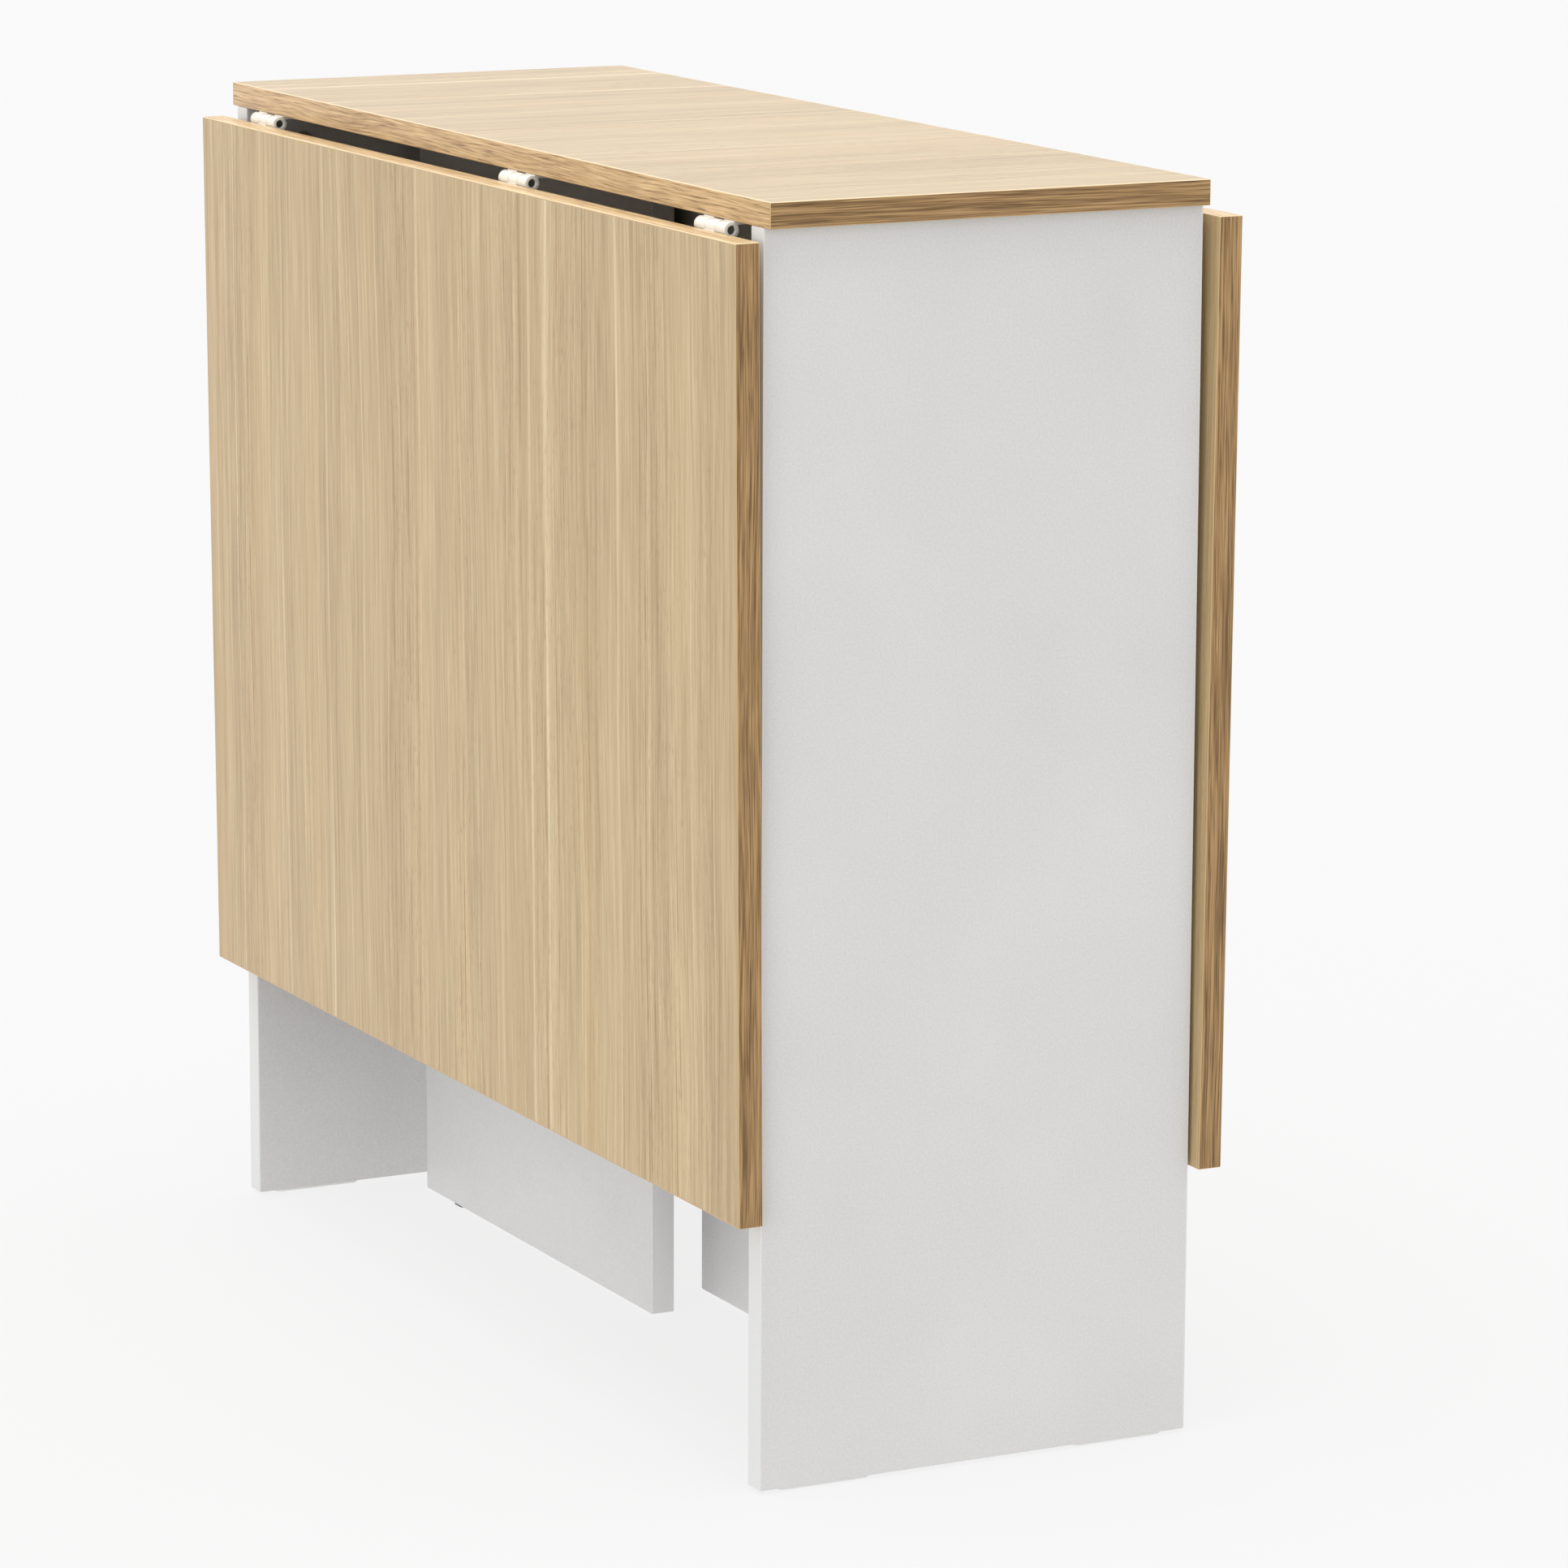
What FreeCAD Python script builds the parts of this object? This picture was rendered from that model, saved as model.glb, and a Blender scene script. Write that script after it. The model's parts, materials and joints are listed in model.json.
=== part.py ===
"""Gateleg table: a narrow carcass of 15 mm board with two drop leaves and two swinging gates.

Frame: millimetres, +Z up, origin on the floor at the middle of the table. X runs across the
table from leaf to leaf, Y runs along it from the near end panel to the far one. The table is
drawn folded: both leaves hang, and both gates lie against the spine panel.

The table has a half-turn symmetry about Z. Whatever belongs to one side is drawn once, in the
frame of the right side, and the left side is the same piece turned by half a turn.
"""
import FreeCAD, Part
import Sketcher
import math
import os
import re
from FreeCAD import Placement, Rotation, Vector

# Driving sizes: alias, number in millimetres (angles in degrees), and what it is.
SIZES = (
    ("table_height", 740, "floor to the top face"),
    ("table_length", 770, "length of the top and of the leaves"),
    ("top_width", 280, "width of the fixed top and of the end panels"),
    ("board", 15, "thickness of every board"),
    ("band", 1, "thickness of the edge bands"),
    ("end_inset", 8, "from the end of the top to the outer face of an end panel"),
    ("glide_height", 2, "floor to the bottom of the boards that stand on glides"),
    ("leaf_drop", 558, "size of a leaf across the table"),
    ("leaf_hang", 0.4, "degrees by which a hanging leaf leans in under the top"),
    ("leaf_axis_out", 1.5, "hinge axis outside the edge of the top"),
    ("leaf_edge_gap", 1.6, "hinge axis to the inboard edge of the leaf"),
    ("leaf_hinge_ends", 322, "middle of the table to the middle of an outer leaf hinge"),
    ("leaf_hinge_middle", 60, "middle of the table to the middle of the third leaf hinge"),
    ("leaf_hinge_offset", 4.9, "hinge axis to the face that a wing is screwed to"),
    ("leaf_hinge_plate", 2, "thickness of a wing"),
    ("leaf_hinge_reach", 30, "hinge axis to the free edge of a wing"),
    ("leaf_hinge_length", 38, "length of the knuckles together"),
    ("leaf_hinge_knuckle", 4.6, "outer radius of a knuckle"),
    ("leaf_hinge_pin", 2.5, "radius of the pin"),
    ("leaf_hinge_near_screw", 11.5, "hinge axis to the two screws beside the knuckles"),
    ("leaf_hinge_far_screw", 22, "hinge axis to the third screw"),
    ("leaf_hinge_spread", 12, "middle of the hinge to either of the two screws"),
    ("gate_length", 345, "free edge of a gate to its hinged edge"),
    ("gate_top", 714, "floor to the top edge of a gate"),
    ("gate_past_axis", 3, "hinge axis to the hinged edge of a gate"),
    ("gate_axis_along", 17, "middle of the table to the gate hinge axis, lengthwise"),
    ("gate_hinge_low", 330, "floor to the middle of the lower gate hinge"),
    ("gate_hinge_high", 650, "floor to the middle of the upper gate hinge"),
    ("gate_hinge_offset", 6, "hinge axis to the face that a wing is screwed to"),
    ("gate_hinge_plate", 2, "thickness of a wing"),
    ("gate_hinge_reach", 32, "hinge axis to the free edge of a wing"),
    ("gate_hinge_length", 60, "length of the knuckles together"),
    ("gate_hinge_knuckle", 5.7, "outer radius of a knuckle"),
    ("gate_hinge_pin", 2.5, "radius of the pin"),
    ("gate_hinge_near_screw", 13, "hinge axis to the two screws beside the knuckles"),
    ("gate_hinge_far_screw", 24, "hinge axis to the third screw"),
    ("gate_hinge_spread", 20, "middle of the hinge to either of the two screws"),
    ("knuckle_split", 0.3, "gap between two knuckles"),
    ("knuckle_room", 0.7, "knuckle to the plate of the other wing"),
    ("knuckle_web", 1.5, "hinge axis to the web between a knuckle and its plate"),
    ("knuckle_lap", 0.5, "how far the web runs into the plate"),
    ("pin_recess", 1.5, "end of a pin inside the end of its outer knuckle"),
    ("pin_chamfer", 0.4, "chamfer at the ends of a pin"),
    ("fit_gap", 0.05, "radial clearance of pins, screws and dowels in their holes"),
    ("screw_shank", 1.75, "radius of a wood screw"),
    ("screw_head", 3.5, "radius of its countersunk head"),
    ("screw_length", 12.5, "length of a hinge screw"),
    ("block_screw_length", 19, "length of a rest block screw"),
    ("screw_point", 3, "length of a screw's point"),
    ("spine_bottom", 250, "floor to the lower edge of the spine panel"),
    ("cam_radius", 7.4, "radius of a cam lock"),
    ("cam_depth", 12, "thickness of a cam lock"),
    ("cam_reach", 24, "joint face to the middle of a cam lock"),
    ("cam_slot", 7.8, "width of the slot for the bolt's head"),
    ("cam_slot_from_face", 3.4, "face of the cam lock to its slot"),
    ("driver_length", 8, "length of the cross in the face of a cam lock"),
    ("driver_width", 1.2, "width of the cross"),
    ("driver_depth", 2, "depth of the cross"),
    ("bolt_thread", 3, "radius of a cam bolt's thread"),
    ("bolt_thread_length", 11, "length of the thread"),
    ("bolt_neck", 2, "radius of the neck below the head"),
    ("bolt_neck_length", 4, "length of the neck"),
    ("bolt_head", 3.4, "radius of the head"),
    ("bolt_head_length", 4, "length of the head"),
    ("dowel_radius", 3.95, "radius of a beech dowel"),
    ("dowel_length", 30, "length of a dowel"),
    ("dowel_in_face", 12, "depth of a dowel hole in the face of a board"),
    ("hole_end_gap", 0.3, "bottom of a hole to the end of what fills it"),
    ("end_chamfer", 1, "chamfer at the ends of dowels and cam bolts"),
    ("cam_spread", 100, "middle of an end panel to its cam bolts"),
    ("dowel_spread", 50, "middle of an end panel to its dowels"),
    ("spine_cam_low", 300, "floor to the lower cam bolt at each end of the spine"),
    ("spine_cam_high", 660, "floor to the upper cam bolt at each end of the spine"),
    ("spine_dowel", 480, "floor to the dowel at each end of the spine"),
    ("spine_cam_along", 200, "middle of the table to the cam bolts between spine and top"),
    ("spine_dowel_along", 100, "middle of the table to the dowels between spine and top"),
    ("block_near", 172, "leaf hinge axis to the rest block"),
    ("block_length", 40, "length of a rest block down the leaf"),
    ("block_gap", 0.3, "opened gate to the rest block"),
    ("block_margin", 1.6, "opened gate to the open end of the rest block"),
    ("block_lip", 7.4, "width of the lip that stops the gate"),
    ("block_lip_drop", 8, "how far the lip reaches past the pad"),
    ("block_lead_in", 2, "chamfer where the gate runs onto the pad"),
    ("block_lip_outside", 2, "chamfer of the lip on its outer side"),
    ("block_lip_inside", 1, "chamfer of the lip towards the gate"),
    ("panel_glide_length", 60, "length of an end panel glide"),
    ("panel_glide_width", 11, "width of an end panel glide"),
    ("panel_glide_edge", 13, "edge of an end panel to its glide"),
    ("gate_glide_length", 18, "length of a gate glide"),
    ("gate_glide_width", 12, "width of a gate glide"),
    ("gate_glide_edge", 46, "free edge of a gate to the middle of its glide"),
)

doc = FreeCAD.newDocument("GatelegTable")
sheet = doc.addObject("Spreadsheet::Sheet", "Sizes")
for row, (alias, number, note) in enumerate(SIZES, start=1):
    sheet.set("A%d" % row, alias)
    sheet.set("B%d" % row, str(number))
    sheet.set("C%d" % row, note)
    sheet.setAlias("B%d" % row, alias)
doc.recompute()

# Sizes that follow from the driving ones.
UNDERSIDE = "(table_height - board)"
END_INNER = "(table_length / 2 - end_inset - board)"
END_MIDDLE = "(table_length / 2 - end_inset - board / 2)"
PANEL_HEIGHT = "(table_height - board - glide_height)"
SPINE_HEIGHT = "(table_height - board - spine_bottom)"
LEAF_AXIS_ACROSS = "(top_width / 2 + leaf_axis_out)"
LEAF_AXIS_HEIGHT = "(table_height - board - leaf_hinge_offset)"
GATE_AXIS_ACROSS = "(board / 2 + gate_hinge_offset)"
SCREW_HOLE = "(screw_shank + fit_gap)"
SCREW_DEPTH = "(screw_length - leaf_hinge_plate + hole_end_gap)"
BOLT_HOLE = "(bolt_thread + fit_gap)"
BOLT_DEPTH = "(bolt_thread_length + hole_end_gap)"
CHANNEL = "(bolt_head + 4 * fit_gap)"
CAM_POCKET = "(cam_radius + 2 * fit_gap)"
CAM_POCKET_DEPTH = "(cam_depth + hole_end_gap)"
DOWEL_HOLE = "(dowel_radius + fit_gap)"
DOWEL_IN_EDGE = "(dowel_length - dowel_in_face + 2 * hole_end_gap)"
BLOCK_PAD = "(table_height - board - gate_top - block_gap)"

# The normal of each origin plane, as a sign along its axis.
PLANES = {"X": ("YZ_Plane", 1), "Y": ("XZ_Plane", -1), "Z": ("XY_Plane", 1)}

HALF_TURN = Placement(Vector(0, 0, 0), Rotation(Vector(0, 0, 1), 180))
SIDES = {"left": HALF_TURN, "right": Placement()}

sub_parts = []
drilled = []


# ---------------------------------------------------------------- sheet and document helpers

def sheet_form(text):
    """The expression with every size's alias pointed at the sheet."""
    return re.sub(r"[a-z][a-z_]*", lambda word: "Sizes." + word.group(), text)


def value(text):
    """The number that an expression of sizes comes to."""
    return float(sheet.evalExpression(sheet_form(text)))


def bind(item, prop, text):
    """Bind a property, or a sketch's constraint, to an expression of sizes."""
    item.setExpression(prop, sheet_form(text))


def keep(item, label, place=Placement()):
    """Name a finished sub-part, put it in its place and list it for export."""
    item.Label = label
    item.Placement = place
    sub_parts.append(item)
    return item


def shifted(across, along, up):
    """A placement moved by three expressions."""
    return Placement(Vector(value(across), value(along), value(up)), Rotation())


def turned_to(x_axis, y_axis, z_axis):
    """A rotation that carries the three axes to the given directions."""
    return Rotation(Vector(*x_axis), Vector(*y_axis), Vector(*z_axis), "XYZ")


# ---------------------------------------------------------------- sketches and features

def sketch_on(body, axis, level):
    """A sketch square to the axis, at the given level along it."""
    role, sign = PLANES[axis]
    sketch = body.newObject("Sketcher::SketchObject", "Sketch")
    plane = [item for item in body.Origin.OriginFeatures if item.Role == role][0]
    sketch.AttachmentSupport = (plane, [""])
    sketch.MapMode = "FlatFace"
    bind(sketch, "AttachmentOffset.Base.z", "%d * (%s)" % (sign, level))
    return sketch


def pin_point(sketch, edge, point, across, up):
    """Hold a point of a sketch at two expressions from the sketch's origin."""
    for kind, text in (("DistanceX", across), ("DistanceY", up)):
        rule = sketch.addConstraint(Sketcher.Constraint(kind, -1, 1, edge, point, value(text)))
        bind(sketch, "Constraints[%d]" % rule, text)


def outline(sketch, corners):
    """A closed outline of straight lines through corners given as expressions."""
    points = [Vector(value(across), value(up), 0) for across, up in corners]
    count = len(points)
    for index in range(count):
        sketch.addGeometry(Part.LineSegment(points[index], points[(index + 1) % count]))
    for index, (across, up) in enumerate(corners):
        following = (index + 1) % count
        sketch.addConstraint(Sketcher.Constraint("Coincident", index, 2, following, 1))
        pin_point(sketch, index, 1, across, up)


def rectangle(sketch, left, bottom, width, height):
    """An upright rectangle from its lower left corner and its two sizes."""
    right = "%s + %s" % (left, width)
    top = "%s + %s" % (bottom, height)
    outline(sketch, [(left, bottom), (right, bottom), (right, top), (left, top)])


def extrude(body, kind, sketch, depth, direction):
    """A Pad or Pocket that goes along the signed direction, such as -Y."""
    feature = body.newObject("PartDesign::" + kind, kind)
    feature.Profile = sketch
    bind(feature, "Length", depth)
    along_normal = (direction[0] == "+") == (PLANES[direction[1]][1] > 0)
    feature.Reversed = along_normal if kind == "Pocket" else not along_normal
    return feature


def slab(direction, level, left, bottom, width, height, thickness):
    """A board as a padded rectangle that grows from a level along a signed direction."""
    body = doc.addObject("PartDesign::Body", "Board")
    sketch = sketch_on(body, direction[1], level)
    rectangle(sketch, left, bottom, width, height)
    extrude(body, "Pad", sketch, thickness, direction)
    return body


def drill(body, direction, level, radius, depth, spots):
    """Round holes of one size, drilled along a signed direction from a level."""
    before = body.Tip
    sketch = sketch_on(body, direction[1], level)
    for index, (across, up) in enumerate(spots):
        centre = Vector(value(across), value(up), 0)
        sketch.addGeometry(Part.Circle(centre, Vector(0, 0, 1), value(radius)))
        pin_point(sketch, index, 3, across, up)
        rule = sketch.addConstraint(Sketcher.Constraint("Radius", index, value(radius)))
        bind(sketch, "Constraints[%d]" % rule, radius)
    pocket = extrude(body, "Pocket", sketch, depth, direction)
    drilled.append((before, pocket, len(spots) * math.pi * value(radius) ** 2 * value(depth)))


def turned(corners):
    """A piece turned about Z from a half section of radii and heights."""
    body = doc.addObject("PartDesign::Body", "Turned")
    sketch = sketch_on(body, "Y", "0")
    outline(sketch, corners)
    turn = body.newObject("PartDesign::Revolution", "Revolution")
    turn.Profile = sketch
    turn.ReferenceAxis = (sketch, ["V_Axis"])
    turn.Angle = 360
    return body


def box(across, along, up, length, width, height):
    """A Part box from its low corner and its three sizes."""
    item = doc.addObject("Part::Box", "Box")
    for prop, text in (("Length", length), ("Width", width), ("Height", height)):
        bind(item, prop, text)
    for axis, text in zip("xyz", (across, along, up)):
        bind(item, "Placement.Base." + axis, text)
    return item


def cylinder(across, along, up, radius, height):
    """A Part cylinder along Z from the middle of its low face."""
    item = doc.addObject("Part::Cylinder", "Cylinder")
    bind(item, "Radius", radius)
    bind(item, "Height", height)
    for axis, text in zip("xyz", (across, along, up)):
        bind(item, "Placement.Base." + axis, text)
    return item


def fused(items):
    """The union of several objects."""
    union = doc.addObject("Part::MultiFuse", "Union")
    union.Shapes = items
    return union


def without(item, tools):
    """An object with others cut from it."""
    cut = doc.addObject("Part::Cut", "Cut")
    cut.Base = item
    cut.Tool = fused(tools) if len(tools) > 1 else tools[0]
    return cut


def strips(label, boxes, place):
    """Edge bands: separate strips that share one node."""
    compound = doc.addObject("Part::Compound", "Strips")
    compound.Links = [box(*sizes) for sizes in boxes]
    return keep(compound, label, place)


def group(label, pattern, places, place=Placement()):
    """Copies of one small piece, as separate solids in one node."""
    copies = []
    for spot in places:
        copy = pattern.Shape.copy()
        copy.Placement = spot
        copies.append(copy)
    feature = doc.addObject("Part::Feature", "Group")
    feature.Shape = Part.makeCompound(copies)
    return keep(feature, label, place)


# ---------------------------------------------------------------- small pieces made once

def wood_screw(length):
    """A countersunk screw that points along +Z, with the top of its head at the origin."""
    shoulder = "(%s - screw_point)" % length
    return turned([
        ("0", "0"),
        ("screw_head", "0"),
        ("screw_shank", "leaf_hinge_plate"),
        ("screw_shank", shoulder),
        ("0", length),
    ])


def cam_bolt():
    """A bolt with its joint face at the origin: the thread goes up, the head hangs down."""
    head_bottom = "(0 - cam_reach - bolt_head_length / 2)"
    head_top = "(0 - cam_reach + bolt_head_length / 2)"
    neck_top = "(0 - cam_reach + bolt_head_length / 2 + bolt_neck_length)"
    return turned([
        ("0", head_bottom),
        ("bolt_head - end_chamfer", head_bottom),
        ("bolt_head", "%s + end_chamfer" % head_bottom),
        ("bolt_head", "%s - end_chamfer" % head_top),
        ("bolt_neck", head_top),
        ("bolt_neck", neck_top),
        ("bolt_thread", "%s + end_chamfer" % neck_top),
        ("bolt_thread", "bolt_thread_length - end_chamfer"),
        ("bolt_thread - end_chamfer", "bolt_thread_length"),
        ("0", "bolt_thread_length"),
    ])


def dowel():
    """A fluted dowel drawn plain, with its middle at the joint face and chamfered ends."""
    low = "(0 - dowel_length + dowel_in_face - hole_end_gap)"
    high = "(dowel_in_face - hole_end_gap)"
    return turned([
        ("0", low),
        ("dowel_radius - end_chamfer", low),
        ("dowel_radius", "%s + end_chamfer" % low),
        ("dowel_radius", "%s - end_chamfer" % high),
        ("dowel_radius - end_chamfer", high),
        ("0", high),
    ])


def cam_lock():
    """A cam lock: its face is at the origin and looks along -Z, the bolt enters along +Y."""
    disc = cylinder("0", "0", "0", "cam_radius", "cam_depth")
    slot = box("0 - cam_slot / 2", "0 - cam_slot / 2", "cam_slot_from_face",
               "cam_slot", "cam_radius + cam_slot", "cam_slot")
    start = "0 - driver_length / 2"
    side = "0 - driver_width / 2"
    cross = [
        box(start, side, "0 - driver_depth", "driver_length", "driver_width", "2 * driver_depth"),
        box(side, start, "0 - driver_depth", "driver_width", "driver_length", "2 * driver_depth"),
    ]
    return without(disc, [slot] + cross)


def hinge_pin(kind):
    """A pin along Z, centred on the origin, that ends a little inside the outer knuckles."""
    half = "(%s_length / 2 - pin_recess)" % kind
    radius = "%s_pin" % kind
    return turned([
        ("0", "0 - %s" % half),
        ("%s - pin_chamfer" % radius, "0 - %s" % half),
        (radius, "pin_chamfer - %s" % half),
        (radius, "%s - pin_chamfer" % half),
        ("%s - pin_chamfer" % radius, half),
        ("0", half),
    ])


def screw_spots(kind):
    """Where a wing's screws stand: away from the axis, and along it."""
    near = "%s_near_screw" % kind
    far = "%s_far_screw" % kind
    spread = "%s_spread" % kind
    return [(near, "0 - %s" % spread), (near, spread), (far, "0")]


def hinge_wing(kind, middle):
    """One wing of a butt hinge, with the pin axis on Z and the plate on the +Y side.

    The plate runs out along +X. The wing has either the middle knuckle or the two outer ones.
    """
    size = {name: "%s_%s" % (kind, name) for name in ("offset", "plate", "reach", "length")}
    knuckle = "%s_knuckle" % kind
    bore = "(%s_pin + fit_gap)" % kind
    face = "%s - %s" % (size["offset"], size["plate"])
    plate_start = "(%s + knuckle_room)" % knuckle
    third = "(%s / 3)" % size["length"]
    if middle:
        spans = [("0 - %s / 2 + knuckle_split / 2" % third, "%s - knuckle_split" % third)]
    else:
        outer = "%s - knuckle_split / 2" % third
        spans = [
            ("0 - %s / 2" % size["length"], outer),
            ("%s / 2 + knuckle_split / 2" % third, outer),
        ]
    solids = [box(plate_start, face, "0 - %s / 2" % size["length"],
                  "%s - %s" % (size["reach"], plate_start), size["plate"], size["length"])]
    web = "%s - knuckle_web + knuckle_lap" % plate_start
    for low, height in spans:
        solids.append(cylinder("0", "0", low, knuckle, height))
        solids.append(box("knuckle_web", face, low, web, size["plate"], height))
    tools = [cylinder("0", "0", "0 - %s" % size["length"], bore, "2 * %s" % size["length"])]
    for away, along in screw_spots(kind):
        sink = doc.addObject("Part::Cone", "Countersink")
        bind(sink, "Radius1", "screw_head + fit_gap")
        bind(sink, "Radius2", "screw_shank + fit_gap")
        bind(sink, "Height", size["plate"])
        sink.Placement = Placement(Vector(value(away), value(face), value(along)),
                                   Rotation(Vector(1, 0, 0), -90))
        tools.append(sink)
    return without(fused(solids), tools)


def rounded_strip(length, width):
    """A glide with round ends, along Y, centred on the origin and standing on the floor."""
    straight = "(%s - %s)" % (length, width)
    radius = "%s / 2" % width
    return fused([
        box("0 - %s" % radius, "0 - %s / 2" % straight, "0", width, straight, "glide_height"),
        cylinder("0", "%s / 2" % straight, "0", radius, "glide_height"),
        cylinder("0", "0 - %s / 2" % straight, "0", radius, "glide_height"),
    ])


hinge_screw = wood_screw("screw_length")
block_screw = wood_screw("block_screw_length")
bolt = cam_bolt()
beech_dowel = dowel()
cam = cam_lock()
pins = {kind: hinge_pin(kind) for kind in ("leaf_hinge", "gate_hinge")}
panel_glide = rounded_strip("panel_glide_length", "panel_glide_width")
gate_glide = rounded_strip("gate_glide_length", "gate_glide_width")
doc.recompute()

# ---------------------------------------------------------------- frames of the moving sides

leaf_axis = shifted(LEAF_AXIS_ACROSS, "0", LEAF_AXIS_HEIGHT)
leaf_lean = Placement(Vector(0, 0, 0), Rotation(Vector(0, 1, 0), value("leaf_hang")))
gate_axis = shifted(GATE_AXIS_ACROSS, "gate_axis_along", "0")

# Wings in the frame of their joint: X outboard, Y along the table, Z up.
TOP_WING = turned_to((-1, 0, 0), (0, 0, 1), (0, 1, 0))
LEAF_WING = turned_to((0, 0, -1), (1, 0, 0), (0, -1, 0))
SPINE_WING = turned_to((0, -1, 0), (-1, 0, 0), (0, 0, -1))
GATE_WING = turned_to((0, -1, 0), (1, 0, 0), (0, 0, 1))

# Leaf hinges along the right side. The left side names them from the other end.
LEAF_HINGES = (
    ("near", "0 - leaf_hinge_ends"),
    ("middle", "leaf_hinge_middle"),
    ("far", "leaf_hinge_ends"),
)
GATE_HINGES = (("lower", "gate_hinge_low"), ("upper", "gate_hinge_high"))
OTHER_END = {"near": "far", "middle": "middle", "far": "near"}
SIGNS = ("", "0 - ")


def hinge_name(side, spot):
    """The name of a leaf hinge's place on the given side."""
    return spot if side == "right" else OTHER_END[spot]


def wing_screws(kind, rotation, origins):
    """Places of the screws in wings that share a rotation and stand at the given origins."""
    places = []
    face = value("%s_offset - %s_plate" % (kind, kind))
    for origin in origins:
        for away, along in screw_spots(kind):
            local = Vector(value(away), face, value(along))
            point = origin + rotation.multVec(local)
            into = rotation.multiply(Rotation(Vector(1, 0, 0), -90))
            places.append(Placement(point, into))
    return places


# ---------------------------------------------------------------- centre top

def centre_top():
    """The fixed top: core board, its edge bands and the holes in its underside."""
    width = "(top_width - 2 * band)"
    length = "(table_length - 2 * band)"
    body = slab("+Z", "0", "0 - %s / 2" % width, "0 - %s / 2" % length, width, length, "board")
    bolts = [("0", "spine_cam_along"), ("0", "0 - spine_cam_along")]
    dowels = [("0", "spine_dowel_along"), ("0", "0 - spine_dowel_along")]
    for across in SIGNS:
        for along in SIGNS:
            bolts.append((across + "cam_spread", along + END_MIDDLE))
            dowels.append((across + "dowel_spread", along + END_MIDDLE))
    drill(body, "+Z", "0", BOLT_HOLE, BOLT_DEPTH, bolts)
    drill(body, "+Z", "0", DOWEL_HOLE, "dowel_in_face", dowels)
    screws = []
    for across, turn in (("", ""), ("0 - ", "0 - ")):
        for _, middle in LEAF_HINGES:
            for away, along in screw_spots("leaf_hinge"):
                x_place = "%s(%s - %s)" % (across, LEAF_AXIS_ACROSS, away)
                y_place = "%s(%s + %s)" % (turn, middle, along)
                screws.append((x_place, y_place))
    drill(body, "+Z", "0", SCREW_HOLE, SCREW_DEPTH, screws)
    place = shifted("0", "0", UNDERSIDE)
    keep(body, "centre_top", place)
    strips("centre_top_edging", [
        ("0 - top_width / 2", "0 - table_length / 2", "0", "band", "table_length", "board"),
        ("top_width / 2 - band", "0 - table_length / 2", "0", "band", "table_length", "board"),
        ("0 - %s / 2" % width, "0 - table_length / 2", "0", width, "band", "board"),
        ("0 - %s / 2" % width, "table_length / 2 - band", "0", width, "band", "board"),
    ], place)


# ---------------------------------------------------------------- end panels

def end_panel(name, turn):
    """An end panel in the near end's place, or turned half round to the far end."""
    width = "(top_width - 2 * band)"
    body = slab("-Y", "0", "0 - %s / 2" % width, "0", width, PANEL_HEIGHT, "board")
    cam_height = "(%s - cam_reach)" % PANEL_HEIGHT
    middle = "0 - board / 2"
    cams = [(sign + "cam_spread", cam_height) for sign in SIGNS]
    drill(body, "-Y", "0", CAM_POCKET, CAM_POCKET_DEPTH, cams)
    channels = [(sign + "cam_spread", middle) for sign in SIGNS]
    drill(body, "-Z", PANEL_HEIGHT, CHANNEL, "cam_reach", channels)
    dowels = [(sign + "dowel_spread", middle) for sign in SIGNS]
    drill(body, "-Z", PANEL_HEIGHT, DOWEL_HOLE, DOWEL_IN_EDGE, dowels)
    spine_bolts = [("0", "%s - glide_height" % height) for height in ("spine_cam_low", "spine_cam_high")]
    drill(body, "-Y", "0", BOLT_HOLE, BOLT_DEPTH, spine_bolts)
    drill(body, "-Y", "0", DOWEL_HOLE, "dowel_in_face", [("0", "spine_dowel - glide_height")])
    place = turn.multiply(shifted("0", "0 - %s" % END_INNER, "glide_height"))
    keep(body, name, place)
    strips(name + "_edging", [
        ("0 - top_width / 2", "0 - board", "0", "band", "board", PANEL_HEIGHT),
        ("top_width / 2 - band", "0 - board", "0", "band", "board", PANEL_HEIGHT),
    ], place)


# ---------------------------------------------------------------- spine panel

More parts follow.
